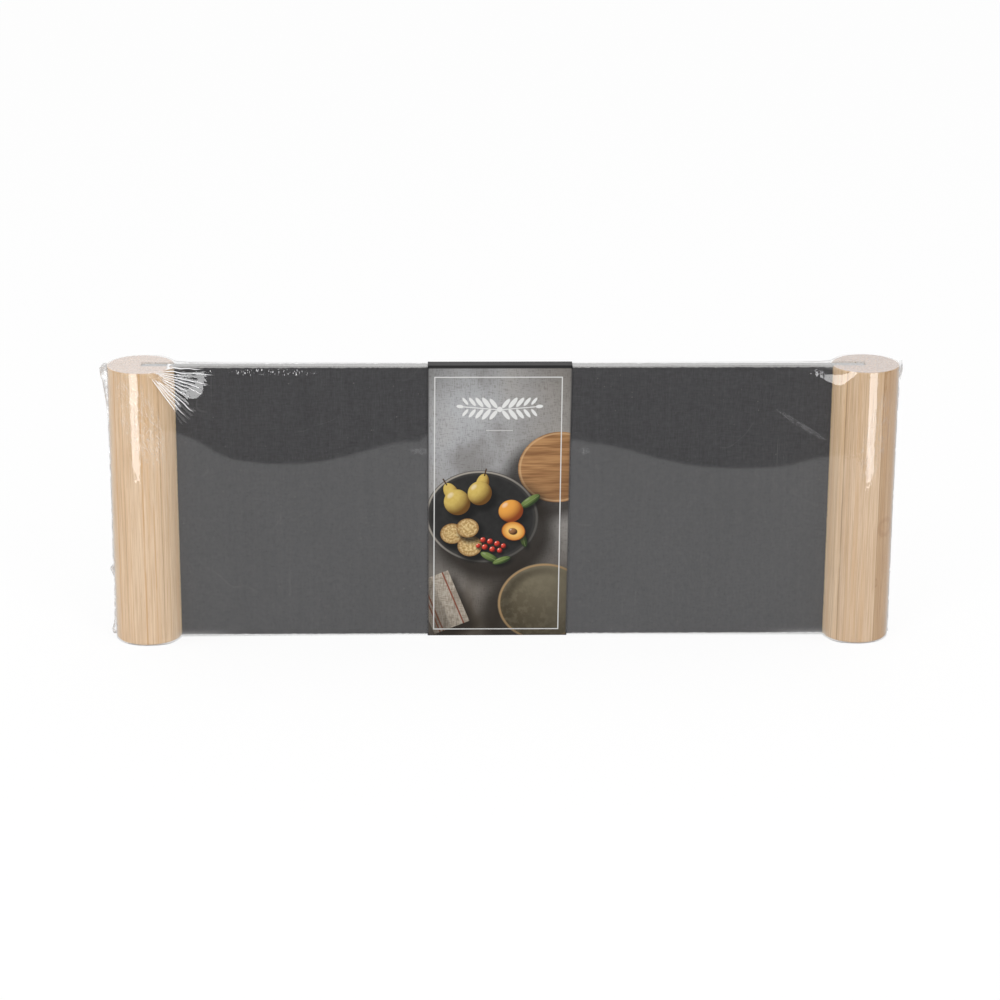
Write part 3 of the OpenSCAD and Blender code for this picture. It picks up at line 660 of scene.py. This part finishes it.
def clear_film(name, seed, fans=(), scrawls=(), milk=0, cloud=(0.90, 0.90, 0.91)):
    """Clear film: nearly all of the light goes straight through, and both of its sides
    reflect. It is white in fans of lines, (x, z, first angle, last angle, reach, lines per
    radian, and x and z of a smooth spot), and in scrawls, (x, z, half width, half height,
    size, stretch across, stretch up, depth, turn), as lines or, where the depth is
    negative, as dashes: partly the whitening of folded film and partly painted highlights
    that stand for the glints of its crinkles. milk is how cloudy the whole sheet is. On the
    handles' end faces it clings, slightly milky, and mirrors less."""
    f = Finish(name)
    point, (px, py, pz) = f.place()
    shift = (seed, seed * 2, seed * 3)
    fine = f.grain(point, 1.1, 2, (1, 1, 3.4), shift)
    soft = f.grain(point, 9, 2, (1, 1, 2), shift)
    tight = f.ramp(abs(px), 139, 146)
    white = milk * f.ramp(f.grain(point, 2.6, 3, (1, 1, 1.6), shift), 0.30, 0.62) if milk else 0
    cap = f.ramp(pz, 120.1, 120.3) * f.ramp(abs(px), 136, 138)
    white = (cap * f.ramp(fine, 0.3, 0.7, 0.24, 0.36)).high(white)
    creases = 0
    # Painted highlights: each fan's white lines are partly the whitening of folded film and partly painted
    # glints of its crinkles.
    for x, z, first, last, reach, count, spot_x, spot_z in fans:
        across, up = px - x, pz - z
        far = (across * across + up * up).root()
        angle = up.math("ARCTAN2", across)
        spread = (angle + (f.grain(point, 6, 1, shift=shift) - 0.5) * 0.06) * count
        number = spread.math("ROUND")
        draw = f.node("TexWhiteNoise", {"noise_dimensions": "1D"}, {"W": number + seed}, 1)
        one, two, three = (f.node("SeparateColor", None, {0: draw}, k) for k in range(3))
        line = f.ramp(abs(spread - number) / count * far, 0.12 + two * 0.22, 0.04)
        line = line * f.ramp(far, 2.5 + one * 7, 4.5 + one * 7)
        line = line * f.ramp(far, reach * (0.55 + three * 0.45), reach * (0.40 + three * 0.45))
        within = f.ramp(angle, first, first + 0.05) * f.ramp(angle, last, last - 0.05)
        white = (line * within).high(white)
        from_spot = (px - spot_x) ** 2 + (pz - spot_z) ** 2
        creases = abs(spread - number) * within * f.ramp(far, reach, reach * 0.8)
        creases = creases * f.ramp(from_spot, 12, 24)
    # Painted highlights: each scrawl's white lines or dashes are partly the whitening of folded film and
    # partly painted glints of its wrinkles.
    for x, z, wide, tall, size, across, up, depth, turn in scrawls:
        c, t = math.cos(math.radians(turn)), math.sin(math.radians(turn))
        along, over = (px - x) * c + (pz - z) * t, (pz - z) * c - (px - x) * t
        spot = f.node("CombineXYZ", None, {0: along, 1: py, 2: over})
        lump = f.grain(spot, size, 1, (across, 1, up), shift)
        line = f.ramp(lump, 0.62, 0.68) if depth < 0 else f.ramp(abs(lump - 0.5), 0.045, 0.015)
        near = f.ramp((along / wide) ** 2 + (over / tall) ** 2, 1.0, 0.5)
        white = (line * near * abs(depth)).high(white)
    relief = fine * (0.04 + tight * 5) + soft * 0.8 + creases * 24
    dent = f.bump(relief, 0.022, 0.35)
    away = f.node("LayerWeight", None, {"Blend": 0.5}, 1)
    once = 0.04 + 0.96 * away ** 5
    both = 2 * once / (1 + once) * (1 - cap * 0.85)
    gloss = f.node("BsdfPrincipled", None, {"Base Color": (1, 1, 1), "Metallic": 1.0, "Roughness": 0.035,
                                            "Normal": dent})
    clear = f.node("BsdfTransparent", None, {0: (1, 1, 1)})
    skin = f.node("MixShader", None, {0: both, 1: clear, 2: gloss})
    # Where the white masks fall the film turns white: its milk, and the painted glints of the fans and
    # scrawls.
    if isinstance(white, Amount):
        shade = f.mix(fine, cloud, tuple(c * 1.08 for c in cloud))
        milk_and_painted_glints = f.node("BsdfPrincipled", None, {"Base Color": shade, "Roughness": 0.6,
                                                  "Specular IOR Level": 0.2})
        skin = f.node("MixShader", None, {0: white, 1: skin, 2: milk_and_painted_glints})
    f.feed(f.end.inputs[0], skin)
    return f.material


front_film = film_web("front_film", -1, (2.26, 1.69), (0.22, 0.07), [(-1, LONG_GATHER), (1, SHORT_GATHER)],
                      [(-95, 118.6, 24, 1.2, 2.7, 0.10), (131, 118.6, 3.5, 1.2, 1.9, 0.18)])
rear_film = film_web("rear_film", 1, (2.0, 2.0), (0.1, 0.1), [(-1, SHORT_GATHER), (1, LONG_GATHER)],
                     [(70, 118.6, 30, 1.2, 2.9, 0.10)])
# The white fans and scrawls below are partly the whitening of folded film and partly painted highlights:
# glints at the gathered corners, along the top fold, at the sleeve's edges and breaking up the handles'
# highlight stripes.
front_skin = clear_film(
    "front shrink film", 1, [(-147.5, 121.0, -1.05, -0.02, 29, 13, -127.6, 109.6)],
    [(-96, 117.6, 20, 1.7, 0.62, 0.6, 2.2, -0.8, 0), (130.6, 118.7, 2.3, 1.0, 1.0, 1.5, 0.6, 0.6, 0),
     (-132.9, 117.3, 2.2, 2.0, 0.9, 0.7, 1.2, 0.7, -35), (124.5, 96, 14, 1.2, 0.40, 1.0, 2.2, 0.12, -31),
     (-35.5, 83, 4, 1.6, 0.5, 6, 0.6, 0.10, 0), (33.5, 83, 4, 1.6, 0.5, 6, 0.6, 0.10, 0),
     (-151, 100, 9, 24, 1.1, 0.6, 3.5, 0.20, 18), (155, 92, 6, 22, 1.1, 0.6, 3.5, 0.16, -12)])
rear_skin = clear_film(
    "rear shrink film", 2, [(147.5, 121.0, -2.85, -2.05, 22, 12, 128.6, 110.0)],
    [(70, 117.6, 28, 1.7, 0.62, 0.6, 2.2, -0.7, 0), (-130.6, 118.5, 3.2, 1.5, 1.0, 1.5, 0.6, 0.8, 0),
     (150, 96, 8, 22, 1.1, 0.6, 3.5, 0.18, -14)])
dress(front_film, front_skin, ["film_front"])
dress(rear_film, rear_skin, ["film_rear"])

# Side seams. Where the two webs are welded and trimmed, a thin crumpled fin runs down the
# outer side of each handle. It ends in a tuft of shrivelled film at the upper corner.

FIN_ROOT, FIN_FOOT = 165.15, 0.5


def crumpled(name, side, profile, top, depth, seed):
    """A ragged fin. profile gives how far the fin stands out at each height, in mm."""
    heights, reach = np.array(profile).T
    mesh = bmesh.new()
    bmesh.ops.create_grid(mesh, x_segments=14, y_segments=240, size=0.5)
    for v in mesh.verts:
        out, up = v.co.x + 0.5, v.co.y + 0.5
        z = FIN_FOOT + up * (top - FIN_FOOT)
        width = np.interp(z, heights, reach)
        rag = 1 + 0.16 * noise.noise(Vector((z / 2.6, seed, 0)))
        rag += 0.20 * noise.noise(Vector((z / 7, seed, 3)))
        wave = noise.noise(Vector((out * 1.2, z / 4.5, seed)))
        wave += 0.35 * noise.noise(Vector((out * 3, z / 1.6, seed)))
        y = depth * wave * (0.15 + out) * width / 3
        v.co = Vector((side * (FIN_ROOT + out * width * rag), y, z)) * MM
    bmesh.ops.recalc_face_normals(mesh, faces=mesh.faces)
    return new_piece(name, mesh)


left_seam = crumpled("left_film_seam", -1, [
    (0.5, 1.5), (3, 2.1), (5.5, 1.0), (14, 0.6), (26.5, 0.5), (30, 2.0), (32.5, 0.6), (60, 0.35),
    (90, 0.45), (98, 0.6), (104, 0.9), (108, 1.7), (112, 2.0), (116, 2.6), (119, 3.2),
    (120.9, 1.5)], 120.9, 1.5, 4)
right_seam = crumpled("right_film_seam", 1, [
    (0.5, 0.7), (12, 0.4), (54, 0.3), (96, 0.35), (112, 0.6), (118, 1.6), (121.9, 1.4)], 121.6, 1.5, 9)
weld = clear_film("welded film", 5, milk=0.85, cloud=(0.53, 0.52, 0.515))
dress(left_seam, weld, ["film_left_seam"])
dress(right_seam, weld, ["film_right_seam"])

# Floor. A white table top, on which the board stands. In the film's reflections the table
# ends some 27 cm in front of the board, as in the photographed set-up.

floor_mesh = bmesh.new()
bmesh.ops.create_grid(floor_mesh, x_segments=1, y_segments=1, size=6)
floor = new_piece("floor", floor_mesh)
f = Finish("white floor")
point, (px, py, pz) = f.place()
path = f.tree.nodes.new("ShaderNodeLightPath")
seen, glanced = Amount(f, path.outputs["Is Camera Ray"]), Amount(f, path.outputs["Is Glossy Ray"])
paper = f.node("BsdfDiffuse", None, {0: (0.86, 0.86, 0.86)})
bright = f.node("Emission", None, {0: (1, 1, 1), 1: 1.0})
plain = f.node("Emission", None, {0: (1, 1, 1), 1: 0.62})
gone = f.node("BsdfTransparent", None, {0: (1, 1, 1)})
body = f.node("MixShader", None, {0: seen * 0.90, 1: paper, 2: bright})
sides = f.ramp(abs(px), 145, 165)
near_edge = px * 0.2 - 289 + f.ramp(abs(px - 5), 40, 0) * 13
side_edge = abs(px) * 0.2 + px * 0.02 - 266
edge = near_edge * (1 - sides) + side_edge * sides
beyond = f.ramp(py - edge, -3, 3, 1, 0)
mirrored = f.node("MixShader", None, {0: beyond, 1: plain, 2: gone})
f.feed(f.end.inputs[0], f.node("MixShader", None, {0: glanced, 1: body, 2: mirrored}))
floor.data.materials.append(f.material)

# Studio. White surroundings behind, a dim room in front, and two tall soft boxes that stand
# in front of the board to the left and right, which the film mirrors as bright stripes.

world = bpy.data.worlds.new("studio")
world.use_nodes = True
bpy.context.scene.world = world
tree = world.node_tree
tree.nodes.clear()
way = tree.nodes.new("ShaderNodeTexCoord")
parts = tree.nodes.new("ShaderNodeSeparateXYZ")
path = tree.nodes.new("ShaderNodeLightPath")
tree.links.new(way.outputs["Generated"], parts.inputs[0])


def graded(axis, start, end, first, last):
    """A level that goes from first to last as the axis of the direction goes from start to end."""
    made = tree.nodes.new("ShaderNodeMapRange")
    tree.links.new(parts.outputs[axis], made.inputs[0])
    for key, value in enumerate((start, end, first, last), 1):
        made.inputs[key].default_value = value
    return made.outputs[0]


def chosen(ray, otherwise, level):
    """level for rays of the kind ray, and otherwise for the rest."""
    made = tree.nodes.new("ShaderNodeMix")
    tree.links.new(path.outputs[ray], made.inputs[0])
    tree.links.new(otherwise, made.inputs[2])
    if isinstance(level, float):
        made.inputs[3].default_value = level
    else:
        tree.links.new(level, made.inputs[3])
    return made.outputs[0]


mirror = tree.nodes.new("ShaderNodeMath")
mirror.operation = "MULTIPLY"
tree.links.new(graded("Y", -0.02, 0.10, 0.02, 1.0), mirror.inputs[0])
tree.links.new(graded("Z", 0.62, 0.80, 1.0, 0.10), mirror.inputs[1])
dull = chosen("Is Glossy Ray", graded("Z", 0.0, 1.0, 0.45, 1.55), mirror.outputs[0])
sky = tree.nodes.new("ShaderNodeBackground")
tree.links.new(chosen("Is Camera Ray", dull, 1.0), sky.inputs["Strength"])
sky_end = tree.nodes.new("ShaderNodeOutputWorld")
tree.links.new(sky.outputs[0], sky_end.inputs[0])
for side in (-1, 1):
    for level, mirrored in ((4.4, True), (3.6, False)):
        lamp = bpy.data.lights.new("soft box", "AREA")
        lamp.shape = "RECTANGLE"
        lamp.size, lamp.size_y = 0.46, 1.36
        lamp.energy = level * math.pi * lamp.size * lamp.size_y
        box = bpy.data.objects.new("soft_box", lamp)
        bpy.context.scene.collection.objects.link(box)
        place = Vector((side * 0.52, -0.90, 0.425))
        away = Vector((place.x, place.y, 0)).normalized()
        box.matrix_world = Matrix.Translation(place) @ Matrix(
            (away.cross(Vector((0, 0, -1))), Vector((0, 0, 1)), away)).transposed().to_4x4()
        box.visible_camera = False
        box.visible_glossy = mirrored
        box.visible_diffuse = not mirrored

# Camera. A long lens a little above the board, at the photograph's angle and framing.

FOCAL, LIFT, TURN, ROLL, AWAY = 3079.0, 18.744, -1.283, 0.279, 1.3022
target = Vector((-1.44, 0, 60.28)) * MM
e, yaw, roll = (math.radians(a) for a in (LIFT, TURN, ROLL))
backward = Vector((math.sin(yaw) * math.cos(e), -math.cos(yaw) * math.cos(e), math.sin(e)))
level = (-backward).cross(Vector((0, 0, 1))).normalized()
upward = level.cross(-backward)
across = math.cos(roll) * level + math.sin(roll) * upward
upright = math.cos(roll) * upward - math.sin(roll) * level
lens = bpy.data.cameras.new("camera")
lens.sensor_width = 36
lens.lens = FOCAL * 36 / 1000
lens.clip_start, lens.clip_end = 0.05, 50
camera = bpy.data.objects.new("camera", lens)
bpy.context.scene.collection.objects.link(camera)
stance = Matrix((across, upright, backward)).transposed().to_4x4()
camera.matrix_world = Matrix.Translation(target + backward * AWAY) @ stance
bpy.context.scene.camera = camera
bpy.context.scene.view_settings.view_transform = "Standard"
